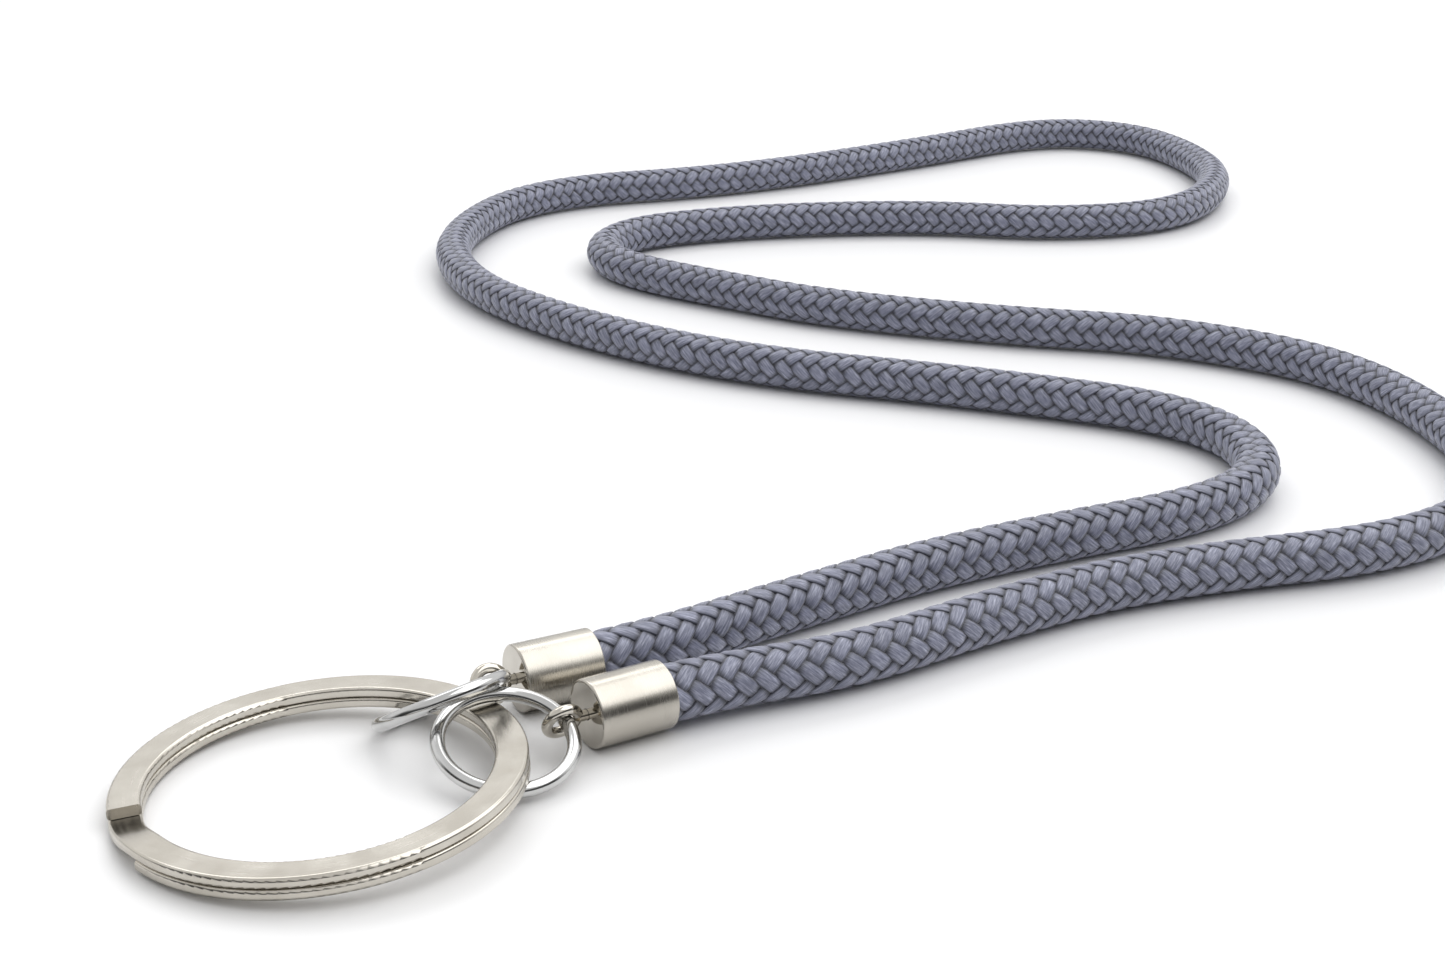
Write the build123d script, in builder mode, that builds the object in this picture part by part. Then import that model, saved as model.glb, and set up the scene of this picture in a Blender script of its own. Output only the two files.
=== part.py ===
from build123d import *

import os
from math import cos, pi, radians, sin, tan

os.makedirs("parts", exist_ok=True)

# Key lanyard: a loop of round braided cord, whose two ends are glued into metal
# cups. Each cup has a wire eye, a jump ring hangs in each eye, and both jump
# rings hold one split key ring. The lanyard lies flat, Z is up and z = 0 is the
# table. Lengths are in millimetres.

# ---------------------------------------------------------------- dimensions
RING_OD = 32.0  # split key ring
STRIP_WIDTH = 2.6
STRIP_THICK = 0.9
LAYER_GAP = 0.04  # air between the two turns of the key ring
STRIP_ROUND = 0.28  # rounded long edges of the strip
CRANK_START = 197.5  # degrees round the ring, from the side nearest the cups
CRANK_SPAN = 25.0
CRANK_SECTIONS = 7

JUMP_OD = 11.9  # jump rings of round wire
JUMP_WIRE = 1.2
JUMP_SLIT = 1.2  # degrees left open between the wire's ends

EYE_WIRE = 0.9
EYE_HOLE = 1.8
EYE_REACH = 2.2  # eye centre in front of the cup
EYE_CURL = 338.0  # degrees that the wire curls round
HEAD_RADIUS = 0.95
HEAD_THICK = 0.5
PLAY = 0.05  # running clearance of the eye's shank and head

CUP_RADIUS = 2.9
CUP_LENGTH = 7.0
CUP_FLOOR = 1.2
CUP_BORE = 2.6
CUP_EDGE = 0.22
CUP_MOUTH_EDGE = 0.1

CORD_RADIUS = 2.5
CORE_RADIUS = 1.58
SHEATH_BORE = 1.6
CORD_SEAT = 1.9  # cord end, behind the cup's front face
GLUE_GAP = 0.01
GLUE_INSET = 0.4  # glue stops short of the cup's mouth

# ------------------------------------------------------------------- places
KEY_PLANE = Plane(origin=(-5.579, -2.637, 0.996), x_dir=(1, 0, 0.0621), z_dir=(-0.062, -0.006, 0.9981))
JUMP_FRONT = Plane(origin=(8.145, 1.949, 2.683), x_dir=(0.163, -0.938, -0.307), z_dir=(0.1222, -0.2895, 0.9493))
JUMP_REAR = Plane(origin=(2.469, 7.577, 3.411), x_dir=(0, 0.8527, -0.3757), z_dir=(-0.3629, 0.3757, 0.8527))

# z_dir points out of the cup's front face, x_dir lies across the eye's hole
CUP_FRONT_AXIS = Vector(-0.851, -0.525, 0).normalized()
CUP_REAR_AXIS = Vector(-0.882, -0.471, 0).normalized()
CUP_FRONT_FACE = Vector(14.22, 6.15, CUP_RADIUS)
CUP_REAR_FACE = Vector(7.95, 12.62, CUP_RADIUS)
EYE_FRONT_TURN = -25.8  # degrees the eye is swivelled about the cup's axis
EYE_REAR_TURN = 29.6

# Free cord on the table between the two straight ends inside the cups
LEAD_OUT = 9
CORD_POINTS = [
    (36, 16.8),
    (48.5, 25.9),
    (64, 35.2),
    (94.5, 43),
    (106.5, 62.5),
    (100.5, 94),
    (81, 108.5),
    (60.5, 112.7),
    (39, 120),
    (26.5, 127.8),
    (12, 138),
    (7.6, 147.7),
    (12, 157),
    (23.5, 162.3),
    (38, 165.5),
    (56, 166.5),
    (74, 162.5),
    (93, 168),
    (103, 188.5),
    (101, 207),
    (94, 221),
    (78.5, 224.5),
    (57, 208.5),
    (27, 189.5),
    (-4, 181),
    (-14, 154.5),
    (-9, 131),
    (6.5, 112),
    (27.5, 97),
    (53.5, 89.2),
    (80.6, 77.5),
    (81, 54.7),
    (48, 40.2),
    (30, 27.6),
]


# ----------------------------------------------------------------- key ring
def strip_station(angle, height, rise):
    """Plane across the strip: X is radial, Z runs along the strip."""
    a = radians(angle)
    mid_radius = (RING_OD - STRIP_WIDTH) / 2
    radial = KEY_PLANE.x_dir * cos(a) + KEY_PLANE.y_dir * sin(a)
    along = KEY_PLANE.y_dir * cos(a) - KEY_PLANE.x_dir * sin(a) + KEY_PLANE.z_dir * rise
    centre = KEY_PLANE.origin + radial * mid_radius + KEY_PLANE.z_dir * height
    return Plane(origin=centre, x_dir=radial, z_dir=along)


def crank_height(share):
    """Height of the strip's middle along the crank, level at both ends."""
    return STRIP_THICK / 2 + (STRIP_THICK + LAYER_GAP) * (1 - cos(pi * share)) / 2


def crank_rise(share):
    arc = radians(CRANK_SPAN) * (RING_OD - STRIP_WIDTH) / 2
    return (STRIP_THICK + LAYER_GAP) * pi * sin(pi * share) / 2 / arc


def strip_section(station):
    with BuildSketch(station) as section:
        RectangleRounded(STRIP_WIDTH, STRIP_THICK, STRIP_ROUND)
    return section.sketch


RING_AXIS = Axis(KEY_PLANE.origin, KEY_PLANE.z_dir)
TURN = 360.0 - CRANK_SPAN

def crank_section(share):
    angle = CRANK_START + CRANK_SPAN * share
    return strip_section(strip_station(angle, crank_height(share), crank_rise(share)))


with BuildPart() as key_ring:
    lower_end = strip_station(CRANK_START - TURN, crank_height(0), 0)
    revolve(strip_section(lower_end), axis=RING_AXIS, revolution_arc=TURN)
    loft([crank_section(step / (CRANK_SECTIONS - 1)) for step in range(CRANK_SECTIONS)])
    revolve(crank_section(1), axis=RING_AXIS, revolution_arc=TURN)
key_ring.part.label = "key_ring"
export_step(key_ring.part, "parts/key_ring.step")


# --------------------------------------------------------------- jump rings
def bend_wire(plane, ring_radius, wire_radius, arc):
    """Round wire bent about the plane's Z, starting on the plane's X."""
    across = Plane(
        origin=plane.origin + plane.x_dir * ring_radius,
        x_dir=plane.x_dir,
        z_dir=plane.y_dir,
    )
    with BuildSketch(across) as section:
        Circle(wire_radius)
    revolve(section.sketch, axis=Axis(plane.origin, plane.z_dir), revolution_arc=arc)


JUMP_RADIUS = (JUMP_OD - JUMP_WIRE) / 2

with BuildPart() as jump_ring_front:
    bend_wire(JUMP_FRONT, JUMP_RADIUS, JUMP_WIRE / 2, 360 - JUMP_SLIT)
jump_ring_front.part.label = "jump_ring_front"
export_step(jump_ring_front.part, "parts/jump_ring_front.step")

with BuildPart() as jump_ring_rear:
    bend_wire(JUMP_REAR, JUMP_RADIUS, JUMP_WIRE / 2, 360 - JUMP_SLIT)
jump_ring_rear.part.label = "jump_ring_rear"
export_step(jump_ring_rear.part, "parts/jump_ring_rear.step")


# --------------------------------------------------- cups, eyes, glue, cord
def cup_plane(face, axis, turn=0.0):
    """Z points out of the cup, X lies level across it and then turns."""
    level = axis.cross(Vector(0, 0, 1))
    return Plane(origin=face, x_dir=level.rotate(Axis((0, 0, 0), axis), turn), z_dir=axis)


def round_bar(plane, start, end, radius):
    """Solid bar along the plane's Z, between two distances behind it."""
    with BuildSketch(plane.offset(-end)) as section:
        Circle(radius)
    extrude(section.sketch, amount=end - start)


def bend_eye(plane):
    """Wire eye with its stem through the cup's floor and a head inside."""
    centre = plane.origin + plane.z_dir * EYE_REACH
    loop_radius = (EYE_HOLE + EYE_WIRE) / 2
    loop = Plane(origin=centre, x_dir=-plane.z_dir, z_dir=plane.x_dir)
    bend_wire(loop, loop_radius, EYE_WIRE / 2, EYE_CURL)
    round_bar(plane, loop_radius - EYE_REACH, CUP_FLOOR + PLAY, EYE_WIRE / 2)
    head_start = CUP_FLOOR + PLAY
    round_bar(plane, head_start, head_start + HEAD_THICK, HEAD_RADIUS)


def turn_cup(plane):
    """Deep cup with a hole in its floor for the eye's stem."""
    mouth = plane.offset(-CUP_LENGTH)
    with BuildSketch(mouth) as body:
        Circle(CUP_RADIUS)
    with BuildSketch(mouth) as bore:
        Circle(CUP_BORE)
    with BuildSketch(mouth) as stem_hole:
        Circle(EYE_WIRE / 2 + PLAY)
    extrude(body.sketch, amount=CUP_LENGTH)
    ends = edges().filter_by(GeomType.CIRCLE).sort_by(Axis(plane.origin, plane.z_dir))
    fillet(ends[-1], CUP_EDGE)
    fillet(ends[0], CUP_MOUTH_EDGE)
    extrude(bore.sketch, amount=CUP_LENGTH - CUP_FLOOR, mode=Mode.SUBTRACT)
    extrude(stem_hole.sketch, amount=CUP_LENGTH, mode=Mode.SUBTRACT)


def glue_sleeve(plane):
    """Thin sleeve of adhesive between the cord's end and the cup's bore."""
    with BuildSketch(plane.offset(GLUE_INSET - CUP_LENGTH)) as section:
        Circle(CUP_BORE - GLUE_GAP)
        Circle(CORD_RADIUS + GLUE_GAP, mode=Mode.SUBTRACT)
    extrude(section.sketch, amount=CUP_LENGTH - GLUE_INSET - CORD_SEAT)


EYE_FRONT_PLANE = cup_plane(CUP_FRONT_FACE, CUP_FRONT_AXIS, EYE_FRONT_TURN)
EYE_REAR_PLANE = cup_plane(CUP_REAR_FACE, CUP_REAR_AXIS, EYE_REAR_TURN)

with BuildPart() as eye_pin_front:
    bend_eye(EYE_FRONT_PLANE)
eye_pin_front.part.label = "eye_pin_front"
export_step(eye_pin_front.part, "parts/eye_pin_front.step")

with BuildPart() as eye_pin_rear:
    bend_eye(EYE_REAR_PLANE)
eye_pin_rear.part.label = "eye_pin_rear"
export_step(eye_pin_rear.part, "parts/eye_pin_rear.step")

with BuildPart() as end_cap_front:
    turn_cup(EYE_FRONT_PLANE)
end_cap_front.part.label = "end_cap_front"
export_step(end_cap_front.part, "parts/end_cap_front.step")

with BuildPart() as end_cap_rear:
    turn_cup(EYE_REAR_PLANE)
end_cap_rear.part.label = "end_cap_rear"
export_step(end_cap_rear.part, "parts/end_cap_rear.step")

with BuildPart() as glue_front:
    glue_sleeve(EYE_FRONT_PLANE)
glue_front.part.label = "glue_front"
export_step(glue_front.part, "parts/glue_front.step")

with BuildPart() as glue_rear:
    glue_sleeve(EYE_REAR_PLANE)
glue_rear.part.label = "glue_rear"
export_step(glue_rear.part, "parts/glue_rear.step")

CORD_START = CUP_FRONT_FACE - CUP_FRONT_AXIS * CORD_SEAT
CORD_END = CUP_REAR_FACE - CUP_REAR_AXIS * CORD_SEAT
ROUTE = [
    CORD_START,
    CORD_START - CUP_FRONT_AXIS * LEAD_OUT,
    *[Vector(x, y, CORD_RADIUS) for x, y in CORD_POINTS],
    CORD_END - CUP_REAR_AXIS * LEAD_OUT,
    CORD_END,
]


def corner_radius(before, corner, after):
    """Radius of an arc that uses 0.45 of the shorter run at a corner."""
    run_in = corner - before
    run_out = after - corner
    half_turn = radians(run_in.get_angle(run_out)) / 2
    return 0.45 * min(run_in.length, run_out.length) / tan(half_turn)


CORNER_RADII = [
    corner_radius(*ROUTE[i : i + 3])
    for i in range(len(ROUTE) - 2)
]

with BuildPart() as cord_sheath:
    with BuildLine() as sheath_line:
        FilletPolyline(*ROUTE, radius=CORNER_RADII)
    with BuildSketch(Plane(origin=CORD_START, z_dir=-CUP_FRONT_AXIS)):
        Circle(CORD_RADIUS)
        Circle(SHEATH_BORE, mode=Mode.SUBTRACT)
    sweep(path=sheath_line.wire())
cord_sheath.part.label = "cord_sheath"
export_step(cord_sheath.part, "parts/cord_sheath.step")

with BuildPart() as cord_core:
    with BuildLine() as core_line:
        FilletPolyline(*ROUTE, radius=CORNER_RADII)
    with BuildSketch(Plane(origin=CORD_START, z_dir=-CUP_FRONT_AXIS)):
        Circle(CORE_RADIUS)
    sweep(path=core_line.wire())
cord_core.part.label = "cord_core"
export_step(cord_core.part, "parts/cord_core.step")

cord_length = sheath_line.wire().length
print("cord route length", round(cord_length, 1), "mm, outer radius", CORD_RADIUS, "mm")
print("core radius", CORE_RADIUS, "mm, tightest bend", round(min(CORNER_RADII), 1), "mm")
sheath_section = pi * (CORD_RADIUS**2 - SHEATH_BORE**2)
print("sheath volume over section times length", round(cord_sheath.part.volume / sheath_section / cord_length, 4))
print("core volume over section times length", round(cord_core.part.volume / (pi * CORE_RADIUS**2) / cord_length, 4))
box = Compound([p.part for p in (key_ring, jump_ring_front, jump_ring_rear, end_cap_front, end_cap_rear)]).bounding_box()
print("hardware box", box.min, box.max)
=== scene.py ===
import math

import bpy
import numpy as np
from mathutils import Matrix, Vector


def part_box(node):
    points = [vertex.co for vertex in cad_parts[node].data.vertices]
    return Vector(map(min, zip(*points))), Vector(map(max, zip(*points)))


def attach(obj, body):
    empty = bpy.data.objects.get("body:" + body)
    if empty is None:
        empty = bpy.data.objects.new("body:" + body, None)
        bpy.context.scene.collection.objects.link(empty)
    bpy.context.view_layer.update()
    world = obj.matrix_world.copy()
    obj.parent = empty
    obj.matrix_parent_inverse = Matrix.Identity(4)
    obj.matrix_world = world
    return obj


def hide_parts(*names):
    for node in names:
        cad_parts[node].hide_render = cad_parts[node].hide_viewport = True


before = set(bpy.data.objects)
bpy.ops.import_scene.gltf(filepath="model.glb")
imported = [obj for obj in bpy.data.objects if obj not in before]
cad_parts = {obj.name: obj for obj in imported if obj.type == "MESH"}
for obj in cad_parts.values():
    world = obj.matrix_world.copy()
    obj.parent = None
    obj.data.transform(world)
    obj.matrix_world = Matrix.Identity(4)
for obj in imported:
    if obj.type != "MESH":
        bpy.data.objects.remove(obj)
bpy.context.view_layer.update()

MM = 0.001

# Key lanyard on a white table: the metal pieces keep their CAD shapes and get
# plated-metal materials, and the cord's plain tubes are replaced by a sheath
# of sixteen woven strands.

# ------------------------------------------------------------------ cord route
CORD_RADIUS = 2.5 * MM
CORD_SEAT = 1.9 * MM
LEAD_OUT = 9 * MM
CUP_LENGTH = 7.0 * MM
CUP_FRONT_FACE = Vector((14.22, 6.15, 2.9)) * MM
CUP_REAR_FACE = Vector((7.95, 12.62, 2.9)) * MM
CUP_FRONT_AXIS = Vector((-0.851, -0.525, 0)).normalized()
CUP_REAR_AXIS = Vector((-0.882, -0.471, 0)).normalized()
TABLE_POINTS = [
    (36, 16.8),
    (48.5, 25.9),
    (64, 35.2),
    (94.5, 43),
    (106.5, 62.5),
    (100.5, 94),
    (81, 108.5),
    (60.5, 112.7),
    (39, 120),
    (26.5, 127.8),
    (12, 138),
    (7.6, 147.7),
    (12, 157),
    (23.5, 162.3),
    (38, 165.5),
    (56, 166.5),
    (74, 162.5),
    (93, 168),
    (103, 188.5),
    (101, 207),
    (94, 221),
    (78.5, 224.5),
    (57, 208.5),
    (27, 189.5),
    (-4, 181),
    (-14, 154.5),
    (-9, 131),
    (6.5, 112),
    (27.5, 97),
    (53.5, 89.2),
    (80.6, 77.5),
    (81, 54.7),
    (48, 40.2),
    (30, 27.6),
]
CORD_START = CUP_FRONT_FACE - CUP_FRONT_AXIS * CORD_SEAT
CORD_END = CUP_REAR_FACE - CUP_REAR_AXIS * CORD_SEAT
ROUTE = [
    CORD_START,
    CORD_START - CUP_FRONT_AXIS * LEAD_OUT,
    *[Vector((x * MM, y * MM, CORD_RADIUS)) for x, y in TABLE_POINTS],
    CORD_END - CUP_REAR_AXIS * LEAD_OUT,
    CORD_END,
]

# --------------------------------------------------------------------- braid
CARRIERS_EACH_WAY = 8
LEAD = 16.3 * MM  # length of one full turn of a strand
BRAID_TURN = math.pi / 4  # brings a row of left-leaning strands to the top
STRAND_WIDTH = 1.5 * MM
STRAND_THICK = 0.44 * MM
WEAVE_RISE = 0.2 * MM  # strands ride this far over and under the mid radius
STATION_STEP = 0.36 * MM
SECTION_POINTS = 8
LINER_RADIUS = 1.95 * MM
FULL_SHARE = 0.97  # the free cord is a little slimmer than where a cup spreads it
NECK_LENGTH = 8 * MM
REPEAT = 4  # a strand's pattern repeats after this many crossings
FLOAT_HEIGHT = 1.2
FLOAT_FLATNESS = 0.18
SECTION_POWER = 0.6  # under 1 makes a strand's section fuller than an ellipse
LINER_SIDES = 16
LINER_STEP = 4 * STATION_STEP
LINE_STEPS = 48  # points read for each control point of the route


def read_line(points):
    """Points along a smooth curve whose control points are the route."""
    curve = bpy.data.curves.new("cord_line", "CURVE")
    curve.dimensions = "3D"
    spline = curve.splines.new("NURBS")
    spline.points.add(len(points) - 1)
    for point, place in zip(spline.points, points):
        point.co = (*place, 1)
    spline.order_u = 3
    spline.use_endpoint_u = True
    spline.resolution_u = LINE_STEPS
    holder = bpy.data.objects.new("cord_line", curve)
    bpy.context.scene.collection.objects.link(holder)
    solved = holder.evaluated_get(bpy.context.evaluated_depsgraph_get())
    mesh = bpy.data.meshes.new_from_object(solved)
    line = np.array([v.co for v in mesh.vertices])
    bpy.data.objects.remove(holder)
    bpy.data.curves.remove(curve)
    bpy.data.meshes.remove(mesh)
    return line


class CordLine:
    """Centre line with a level frame, asked for by distance along it."""

    def __init__(self, line):
        steps = np.linalg.norm(np.diff(line, axis=0), axis=1)
        self.at = np.concatenate([[0], np.cumsum(steps)])
        self.length = self.at[-1]
        self.line = line
        tangent = np.gradient(line, self.at, axis=0)
        tangent /= np.linalg.norm(tangent, axis=1)[:, None]
        side = np.cross(tangent, (0, 0, 1))
        self.side = side / np.linalg.norm(side, axis=1)[:, None]
        self.up = np.cross(self.side, tangent)

    def read(self, values, distance):
        return np.stack([np.interp(distance, self.at, values[:, k]) for k in range(3)], -1)

    def place(self, distance, angle, radius):
        """Points round the line, angle from level side towards up."""
        distance = np.clip(distance, 0, self.length)
        side = self.read(self.side, distance) * np.cos(angle)[..., None]
        up = self.read(self.up, distance) * np.sin(angle)[..., None]
        return self.read(self.line, distance) + (side + up) * radius[..., None]

    def neck(self, distance):
        """Share of the full radius, most in and close to either cup."""
        end = np.minimum(distance, self.length - distance) - (CUP_LENGTH - CORD_SEAT)
        return 1 - (1 - FULL_SHARE) * np.clip(end / NECK_LENGTH, 0, 1)


def weave_height(crossing, carrier, way):
    """1 where a strand floats over two others, -1 where it runs under two."""
    shift = 0.5 + 2 * carrier if way > 0 else 2 * carrier - 2.5
    wave = 2 * math.pi * (crossing - shift) / REPEAT
    return FLOAT_HEIGHT * (np.cos(wave) - FLOAT_FLATNESS * np.cos(3 * wave))


def strand_grid(line, carrier, way):
    """Rings of points along one strand, with their UVs, and each point's depth in the weave,
    which the braid material uses to paint shade into the gaps.
    """
    mid_radius = CORD_RADIUS - WEAVE_RISE - STRAND_THICK / 2
    slant = math.atan(2 * math.pi * mid_radius / LEAD)
    distance = np.linspace(0, line.length, round(line.length / STATION_STEP))
    start_turn = carrier * 2 * math.pi / CARRIERS_EACH_WAY + BRAID_TURN
    turn = way * 2 * math.pi * distance / LEAD + start_turn
    height = weave_height(2 * CARRIERS_EACH_WAY * distance / LEAD, carrier, way)
    round_section = np.linspace(0, 2 * math.pi, SECTION_POINTS, endpoint=False)
    across = STRAND_WIDTH / 2 * np.cos(round_section)
    rise = np.sin(round_section)
    raised = STRAND_THICK / 2 * np.sign(rise) * np.abs(rise) ** SECTION_POWER
    radius = mid_radius + WEAVE_RISE * height[:, None] + raised[None, :]
    radius = radius * line.neck(distance)[:, None]
    # Depth in the weave: the braid material darkens low points with it, as painted shade in the
    # gaps and where a strand runs under others.
    depth = (WEAVE_RISE * height[:, None] + raised[None, :]) / (WEAVE_RISE + STRAND_THICK / 2)
    place = line.place(
        distance[:, None] - way * math.sin(slant) * across[None, :],
        turn[:, None] + math.cos(slant) * across[None, :] / mid_radius,
        radius,
    )
    return place, distance, depth


def grid_faces(rows, columns, first):
    """Quads of a tube made of rings, each ring closed."""
    row = np.arange(rows - 1)[:, None] * columns
    here = np.arange(columns)[None, :]
    after = (here + 1) % columns
    quads = np.stack([row + here, row + after, row + columns + after, row + columns + here], -1)
    return quads.reshape(-1, 4) + first


def grid_uvs(rows, columns, distance, column_shift):
    """UVs of those quads: U once round the strand, V in millimetres along it."""
    here = np.arange(columns) / columns
    u = np.stack([here, here + 1 / columns, here + 1 / columns, here], -1) + column_shift
    v = np.stack([distance[:-1], distance[:-1], distance[1:], distance[1:]], -1) / MM
    grid = np.zeros((rows - 1, columns, 4, 2))
    grid[..., 0] = u[None]
    grid[..., 1] = v[:, None]
    return grid.reshape(-1, 2)


def make_mesh(name, points, quads, uvs):
    mesh = bpy.data.meshes.new(name)
    mesh.vertices.add(len(points))
    mesh.vertices.foreach_set("co", points.ravel())
    mesh.loops.add(quads.size)
    mesh.loops.foreach_set("vertex_index", quads.ravel())
    mesh.polygons.add(len(quads))
    mesh.polygons.foreach_set("loop_start", np.arange(0, quads.size, 4))
    mesh.update(calc_edges=True)
    mesh.uv_layers.new(name="along").data.foreach_set("uv", uvs.ravel())
    mesh.shade_smooth()
    piece = bpy.data.objects.new(name, mesh)
    bpy.context.scene.collection.objects.link(piece)
    return piece


def weave_sheath(line):
    """Both sets of strands as one mesh."""
    points, quads, uvs, depths = [], [], [], []
    first = 0
    for number in range(2 * CARRIERS_EACH_WAY):
        way = 1 if number < CARRIERS_EACH_WAY else -1
        place, distance, depth = strand_grid(line, number % CARRIERS_EACH_WAY, way)
        rows, columns = place.shape[:2]
        points.append(place.reshape(-1, 3))
        quads.append(grid_faces(rows, columns, first))
        uvs.append(grid_uvs(rows, columns, distance, number))
        depths.append(depth.ravel())
        first += rows * columns
    piece = make_mesh(
        "braid_sheath", np.concatenate(points), np.concatenate(quads), np.concatenate(uvs)
    )
    # The depth is stored for the braid material's painted shade in the gaps.
    layer = piece.data.attributes.new("shade_depth", "FLOAT", "POINT")
    layer.data.foreach_set("value", np.concatenate(depths))
    return piece


def make_liner(line):
    """Core seen only in the gaps between strands, coloured near black as painted shade in those
    gaps.
    """
    distance = np.linspace(0, line.length, round(line.length / LINER_STEP))
    angle = np.linspace(0, 2 * math.pi, LINER_SIDES, endpoint=False)
    rows = len(distance)
    flat = np.zeros((rows, LINER_SIDES))
    place = line.place(distance[:, None] + flat, angle[None, :] + flat, LINER_RADIUS + flat)
    uvs = grid_uvs(rows, LINER_SIDES, distance, 0)
    return make_mesh("braid_core", place.reshape(-1, 3), grid_faces(rows, LINER_SIDES, 0), uvs)


# ----------------------------------------------------------------- materials
def new_material(name):
    material = bpy.data.materials.new(name)
    material.use_nodes = True
    return material, material.node_tree.nodes, material.node_tree.links


def add_node(nodes, kind, **values):
    """A node whose inputs are set by name."""
    node = nodes.new(kind)
    for key, value in values.items():
        node.inputs[key.replace("_", " ")].default_value = value
    return node


def add_ramp(nodes, *stops):
    ramp = nodes.new("ShaderNodeValToRGB")
    ramp.color_ramp.elements[0].position = stops[0][0]
    ramp.color_ramp.elements[0].color = (*stops[0][1], 1)
    ramp.color_ramp.elements[1].position = stops[-1][0]
    ramp.color_ramp.elements[1].color = (*stops[-1][1], 1)
    for place, colour in stops[1:-1]:
        ramp.color_ramp.elements.new(place).color = (*colour, 1)
    return ramp


def grey(level):
    return (level, level, level)


def braid_material():
    material, nodes, links = new_material("blue_grey_braid")
    shader = nodes["Principled BSDF"]
    shader.inputs["Specular IOR Level"].default_value = 0.75
    shader.inputs["Sheen Weight"].default_value = 0.3
    shader.inputs["Sheen Roughness"].default_value = 0.45
    place = nodes.new("ShaderNodeTexCoord")
    fibre_map = add_node(nodes, "ShaderNodeMapping", Scale=(34, 0.9, 1))
    fibre = add_node(nodes, "ShaderNodeTexNoise", Scale=1.0, Detail=5.0, Roughness=0.62)
    patch_map = add_node(nodes, "ShaderNodeMapping", Scale=(3, 0.35, 1))
    patch = add_node(nodes, "ShaderNodeTexNoise", Scale=1.0, Detail=2.0)
    fibre_colour = add_ramp(
        nodes,
        (0.30, (0.12, 0.13, 0.19)),
        (0.52, (0.27, 0.282, 0.37)),
        (0.74, (0.54, 0.555, 0.67)),
    )
    patch_share = add_ramp(nodes, (0.3, grey(0.82)), (0.7, grey(1.1)))
    tint = nodes.new("ShaderNodeMix")
    tint.data_type = "RGBA"
    tint.blend_type = "MULTIPLY"
    tint.inputs[0].default_value = 1.0
    gloss = add_ramp(nodes, (0.3, grey(0.55)), (0.75, grey(0.32)))
    bump = add_node(nodes, "ShaderNodeBump", Strength=0.55, Distance=0.00006)
    links.new(place.outputs["UV"], fibre_map.inputs["Vector"])
    links.new(place.outputs["UV"], patch_map.inputs["Vector"])
    links.new(fibre_map.outputs[0], fibre.inputs["Vector"])
    links.new(patch_map.outputs[0], patch.inputs["Vector"])
    links.new(fibre.outputs["Fac"], fibre_colour.inputs["Fac"])
    links.new(patch.outputs["Fac"], patch_share.inputs["Fac"])
    links.new(fibre_colour.outputs["Color"], tint.inputs[6])
    links.new(patch_share.outputs["Color"], tint.inputs[7])
    # Painted shade: the colour is darkened towards the gaps and where strands dip under others,
    # read from the weave depth.
    sunk = nodes.new("ShaderNodeAttribute")
    sunk.attribute_name = "shade_depth"
    painted_gap_shade = add_ramp(nodes, (0.18, grey(0.02)), (0.62, grey(0.34)), (0.93, grey(1.0)))
    shaded = nodes.new("ShaderNodeMix")
    shaded.data_type = "RGBA"
    shaded.blend_type = "MULTIPLY"
    shaded.inputs[0].default_value = 1.0
    links.new(sunk.outputs["Fac"], painted_gap_shade.inputs["Fac"])
    links.new(tint.outputs[2], shaded.inputs[6])
    links.new(painted_gap_shade.outputs["Color"], shaded.inputs[7])
    links.new(shaded.outputs[2], shader.inputs["Base Color"])
    links.new(fibre.outputs["Fac"], gloss.inputs["Fac"])
    links.new(gloss.outputs["Color"], shader.inputs["Roughness"])
    links.new(fibre.outputs["Fac"], bump.inputs["Height"])
    links.new(bump.outputs["Normal"], shader.inputs["Normal"])
    return material


def core_material():
    material, nodes, links = new_material("core_yarn")
    shader = nodes["Principled BSDF"]
    shader.inputs["Roughness"].default_value = 0.9
    place = nodes.new("ShaderNodeTexCoord")
    noise = add_node(nodes, "ShaderNodeTexNoise", Scale=900.0, Detail=3.0)
    # Near-black colour: painted shade for the gaps between the braid's strands.
    colour = add_ramp(nodes, (0.3, (0.03, 0.032, 0.045)), (0.7, (0.055, 0.06, 0.08)))
    links.new(place.outputs["Object"], noise.inputs["Vector"])
    links.new(noise.outputs["Fac"], colour.inputs["Fac"])
    links.new(colour.outputs["Color"], shader.inputs["Base Color"])
    return material


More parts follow.
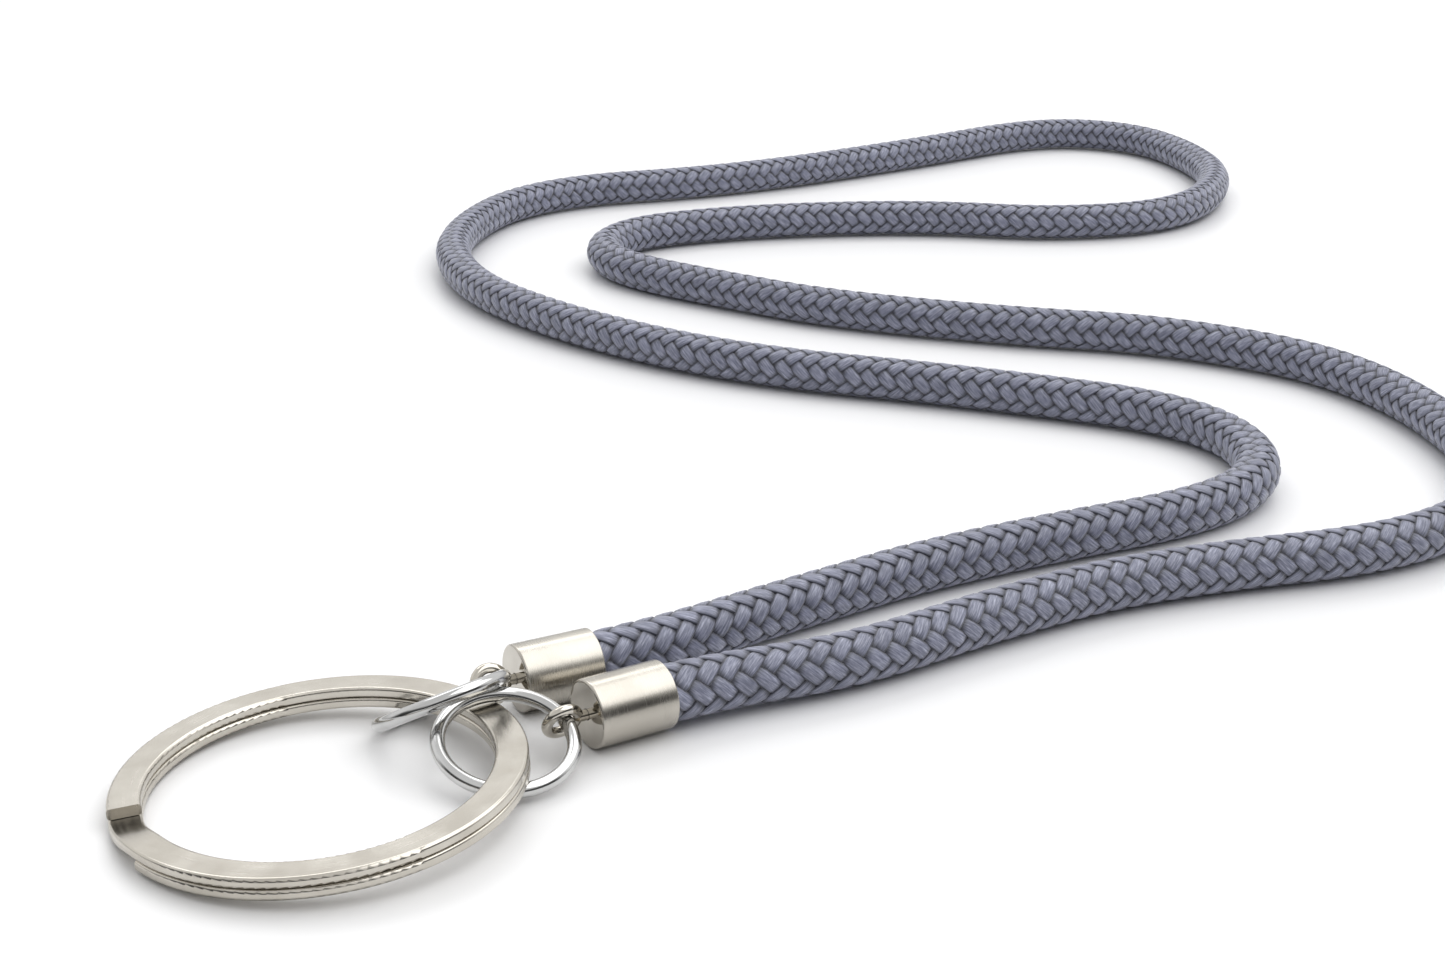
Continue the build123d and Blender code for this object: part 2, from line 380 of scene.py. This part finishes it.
def brushed_material(name, brush_vector, low, high, gloss_low, gloss_high, depth, detail=6.0):
    """Plated metal with fine lines: brush_vector(nodes, links) gives the
    coordinates in which the lines run along Y and Z."""
    material, nodes, links = new_material(name)
    shader = nodes["Principled BSDF"]
    shader.inputs["Metallic"].default_value = 1.0
    place = nodes.new("ShaderNodeTexCoord")
    smudge = add_node(nodes, "ShaderNodeTexNoise", Scale=260.0, Detail=3.0)
    line = add_node(nodes, "ShaderNodeTexNoise", Scale=1.0, Detail=detail, Roughness=0.7)
    colour = add_ramp(nodes, (0.35, low), (0.65, high))
    mixed = add_node(nodes, "ShaderNodeMath")
    mixed.operation = "ADD"
    half = add_node(nodes, "ShaderNodeMath")
    half.operation = "MULTIPLY"
    half.inputs[1].default_value = 0.5
    gloss = add_ramp(nodes, (0.3, grey(gloss_low)), (0.7, grey(gloss_high)))
    bump = add_node(nodes, "ShaderNodeBump", Strength=depth, Distance=0.00001)
    links.new(place.outputs["Object"], smudge.inputs["Vector"])
    links.new(brush_vector(nodes, links), line.inputs["Vector"])
    links.new(smudge.outputs["Fac"], colour.inputs["Fac"])
    links.new(colour.outputs["Color"], shader.inputs["Base Color"])
    links.new(smudge.outputs["Fac"], mixed.inputs[0])
    links.new(line.outputs["Fac"], mixed.inputs[1])
    links.new(mixed.outputs[0], half.inputs[0])
    links.new(half.outputs[0], gloss.inputs["Fac"])
    links.new(gloss.outputs["Color"], shader.inputs["Roughness"])
    links.new(line.outputs["Fac"], bump.inputs["Height"])
    links.new(bump.outputs["Normal"], shader.inputs["Normal"])
    return material


def polish_face(material, face, axis):
    """Makes the flat face at one end of a cup a mirror."""
    nodes, links = material.node_tree.nodes, material.node_tree.links
    shader = nodes["Principled BSDF"]
    place = nodes.new("ShaderNodeTexCoord")
    reach = nodes.new("ShaderNodeVectorMath")
    reach.operation = "DOT_PRODUCT"
    reach.inputs[1].default_value = axis
    mask = nodes.new("ShaderNodeMapRange")
    mask.inputs["From Min"].default_value = face.dot(axis) - 0.00008
    mask.inputs["From Max"].default_value = face.dot(axis) - 0.00002
    gloss = nodes.new("ShaderNodeMix")
    gloss.inputs[3].default_value = 0.05
    lines = nodes.new("ShaderNodeMix")
    lines.inputs[3].default_value = 0.0
    bump = next(node for node in nodes if node.bl_idname == "ShaderNodeBump")
    lines.inputs[2].default_value = bump.inputs["Strength"].default_value
    links.new(place.outputs["Object"], reach.inputs[0])
    links.new(reach.outputs["Value"], mask.inputs["Value"])
    links.new(mask.outputs[0], gloss.inputs[0])
    links.new(mask.outputs[0], lines.inputs[0])
    links.new(shader.inputs["Roughness"].links[0].from_socket, gloss.inputs[2])
    links.new(gloss.outputs[0], shader.inputs["Roughness"])
    links.new(lines.outputs[0], bump.inputs["Strength"])


def lines_round_axis(axis):
    """Turned lines: they go round a level axis, and change along it."""

    def vector(nodes, links):
        place = nodes.new("ShaderNodeTexCoord")
        turn = add_node(nodes, "ShaderNodeMapping", Rotation=(0, 0, -math.atan2(axis.y, axis.x)))
        stretch = add_node(nodes, "ShaderNodeMapping", Scale=(11000, 300, 300))
        links.new(place.outputs["Object"], turn.inputs["Vector"])
        links.new(turn.outputs[0], stretch.inputs["Vector"])
        return stretch.outputs[0]

    return vector


def lines_round_centre(centre):
    """Lines that follow a ring round its centre."""

    def vector(nodes, links):
        place = nodes.new("ShaderNodeTexCoord")
        offset = nodes.new("ShaderNodeVectorMath")
        offset.operation = "SUBTRACT"
        offset.inputs[1].default_value = centre
        reach = nodes.new("ShaderNodeVectorMath")
        reach.operation = "LENGTH"
        scaled = add_node(nodes, "ShaderNodeMath")
        scaled.operation = "MULTIPLY"
        scaled.inputs[1].default_value = 4500
        slow = nodes.new("ShaderNodeVectorMath")
        slow.operation = "SCALE"
        slow.inputs["Scale"].default_value = 130
        parts = nodes.new("ShaderNodeSeparateXYZ")
        joined = nodes.new("ShaderNodeCombineXYZ")
        links.new(place.outputs["Object"], offset.inputs[0])
        links.new(offset.outputs["Vector"], reach.inputs[0])
        links.new(reach.outputs["Value"], scaled.inputs[0])
        links.new(offset.outputs["Vector"], slow.inputs[0])
        links.new(slow.outputs["Vector"], parts.inputs[0])
        links.new(scaled.outputs[0], joined.inputs["X"])
        links.new(parts.outputs["X"], joined.inputs["Y"])
        links.new(parts.outputs["Y"], joined.inputs["Z"])
        return joined.outputs[0]

    return vector


def scattered(scale):
    """No direction: faint marks all over."""

    def vector(nodes, links):
        place = nodes.new("ShaderNodeTexCoord")
        stretch = add_node(nodes, "ShaderNodeMapping", Scale=(scale, scale, scale))
        links.new(place.outputs["Object"], stretch.inputs["Vector"])
        return stretch.outputs[0]

    return vector


def adhesive_material():
    material, nodes, links = new_material("adhesive")
    shader = nodes["Principled BSDF"]
    place = nodes.new("ShaderNodeTexCoord")
    noise = add_node(nodes, "ShaderNodeTexNoise", Scale=500.0)
    colour = add_ramp(nodes, (0.3, (0.45, 0.4, 0.28)), (0.7, (0.6, 0.55, 0.42)))
    shader.inputs["Roughness"].default_value = 0.3
    links.new(place.outputs["Object"], noise.inputs["Vector"])
    links.new(noise.outputs["Fac"], colour.inputs["Fac"])
    links.new(colour.outputs["Color"], shader.inputs["Base Color"])
    return material


def dress(node, material):
    """Gives a CAD node its material."""
    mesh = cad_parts[node].data
    mesh.materials.clear()
    mesh.materials.append(material)


def box_centre(node):
    low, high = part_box(node)
    return (low + high) / 2


WARM_LOW, WARM_HIGH = (0.57, 0.54, 0.485), (0.65, 0.62, 0.565)
COOL_LOW, COOL_HIGH = (0.56, 0.56, 0.555), (0.66, 0.66, 0.655)
CUP_LOW, CUP_HIGH = (0.50, 0.475, 0.43), (0.58, 0.555, 0.505)

ring_lines = lines_round_centre(box_centre("key_ring"))
strip = brushed_material(
    "nickel_strip", ring_lines, WARM_LOW, WARM_HIGH, 0.16, 0.30, 0.15, detail=1.0
)
bright = brushed_material("bright_wire", scattered(2500), COOL_LOW, COOL_HIGH, 0.07, 0.16, 0.12)
wire = brushed_material("nickel_wire", scattered(2500), WARM_LOW, WARM_HIGH, 0.08, 0.18, 0.12)
dress("key_ring", strip)
dress("jump_ring_front", bright)
dress("jump_ring_rear", bright)
dress("eye_pin_front", wire)
dress("eye_pin_rear", wire)
for side, face, axis in (
    ("front", CUP_FRONT_FACE, CUP_FRONT_AXIS),
    ("rear", CUP_REAR_FACE, CUP_REAR_AXIS),
):
    cup_lines = lines_round_axis(axis)
    cup = brushed_material("brushed_cup_" + side, cup_lines, CUP_LOW, CUP_HIGH, 0.2, 0.34, 0.35)
    polish_face(cup, face, axis)
    dress("end_cap_" + side, cup)
adhesive = adhesive_material()
dress("glue_front", adhesive)
dress("glue_rear", adhesive)

# ---------------------------------------------------------------------- cord
cord_line = CordLine(read_line(ROUTE))
sheath = weave_sheath(cord_line)
sheath.data.materials.append(braid_material())
liner = make_liner(cord_line)
liner.data.materials.append(core_material())
for piece, node, slot in (
    (sheath, "cord_sheath", "blue_grey_braid"),
    (liner, "cord_core", "core_yarn"),
):
    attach(piece, "lanyard")
    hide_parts(node)


# ------------------------------------------------- table, lights and camera
TABLE_SIZE = 6
TABLE_PLACE = (0, 1.5, -0.00002)
CAMERA_PLACE = (0.0251, -0.1549, 0.0852)
CAMERA_DOWN = 21.15  # degrees below level
CAMERA_LENS = 56
CAMERA_SENSOR = 36


def add_table():
    bpy.ops.mesh.primitive_plane_add(size=TABLE_SIZE, location=TABLE_PLACE)
    table = bpy.context.object
    table.name = "table"
    material, nodes, links = new_material("table_white")
    shader = nodes["Principled BSDF"]
    place = nodes.new("ShaderNodeTexCoord")
    noise = add_node(nodes, "ShaderNodeTexNoise", Scale=6.0)
    gloss = add_ramp(nodes, (0.3, grey(0.36)), (0.7, grey(0.38)))
    shader.inputs["Base Color"].default_value = (0.93, 0.93, 0.935, 1)
    shader.inputs["Specular IOR Level"].default_value = 0.3
    links.new(place.outputs["Object"], noise.inputs["Vector"])
    links.new(noise.outputs["Fac"], gloss.inputs["Fac"])
    links.new(gloss.outputs["Color"], shader.inputs["Roughness"])
    table.data.materials.append(material)


def add_area_light(name, place, target, size, power):
    light = bpy.data.lights.new(name, "AREA")
    light.shape = "RECTANGLE"
    light.size, light.size_y = size
    light.energy = power
    holder = bpy.data.objects.new(name, light)
    holder.location = place
    holder.rotation_euler = (Vector(target) - Vector(place)).to_track_quat("-Z", "Y").to_euler()
    bpy.context.scene.collection.objects.link(holder)


def add_world():
    """Bright studio behind and above, a dark room low behind the camera."""
    world = bpy.data.worlds.new("studio")
    world.use_nodes = True
    nodes, links = world.node_tree.nodes, world.node_tree.links
    place = nodes.new("ShaderNodeTexCoord")
    parts = nodes.new("ShaderNodeSeparateXYZ")
    behind = add_ramp(
        nodes,
        (0.0, grey(0.55)),
        (0.25, grey(0.88)),
        (0.5, grey(0.9)),
        (0.8, grey(0.78)),
        (1.0, grey(0.7)),
    )
    before = add_ramp(
        nodes, (0.0, grey(0.05)), (0.36, grey(0.1)), (0.55, grey(0.75)), (1.0, grey(0.7))
    )
    side = nodes.new("ShaderNodeMapRange")
    side.inputs["From Min"].default_value = -0.25
    side.inputs["From Max"].default_value = 0.15
    mixed = nodes.new("ShaderNodeMix")
    mixed.data_type = "RGBA"
    links.new(place.outputs["Generated"], parts.inputs[0])
    links.new(parts.outputs["Z"], behind.inputs["Fac"])
    links.new(parts.outputs["Z"], before.inputs["Fac"])
    links.new(parts.outputs["Y"], side.inputs["Value"])
    links.new(side.outputs[0], mixed.inputs[0])
    links.new(before.outputs["Color"], mixed.inputs[6])
    links.new(behind.outputs["Color"], mixed.inputs[7])
    links.new(mixed.outputs[2], nodes["Background"].inputs["Color"])
    bpy.context.scene.world = world


def add_camera():
    camera = bpy.data.cameras.new("camera")
    camera.sensor_width = CAMERA_SENSOR
    camera.lens = CAMERA_LENS
    camera.clip_start = 0.005
    holder = bpy.data.objects.new("camera", camera)
    holder.location = CAMERA_PLACE
    holder.rotation_euler = (math.radians(90 - CAMERA_DOWN), 0, 0)
    bpy.context.scene.collection.objects.link(holder)
    bpy.context.scene.camera = holder


add_table()
add_world()
add_camera()
add_area_light("top_softbox", (0.45, 0.08, 0.8), (0.03, 0.06, 0), (1.15, 0.85), 3.2)
add_area_light("back_softbox", (-0.2, 0.7, 0.8), (0.03, 0.1, 0), (0.8, 0.3), 1.2)
bpy.context.scene.view_settings.view_transform = "Standard"
bpy.context.scene.view_settings.exposure = 0.22
bpy.context.scene.view_settings.gamma = 0.88
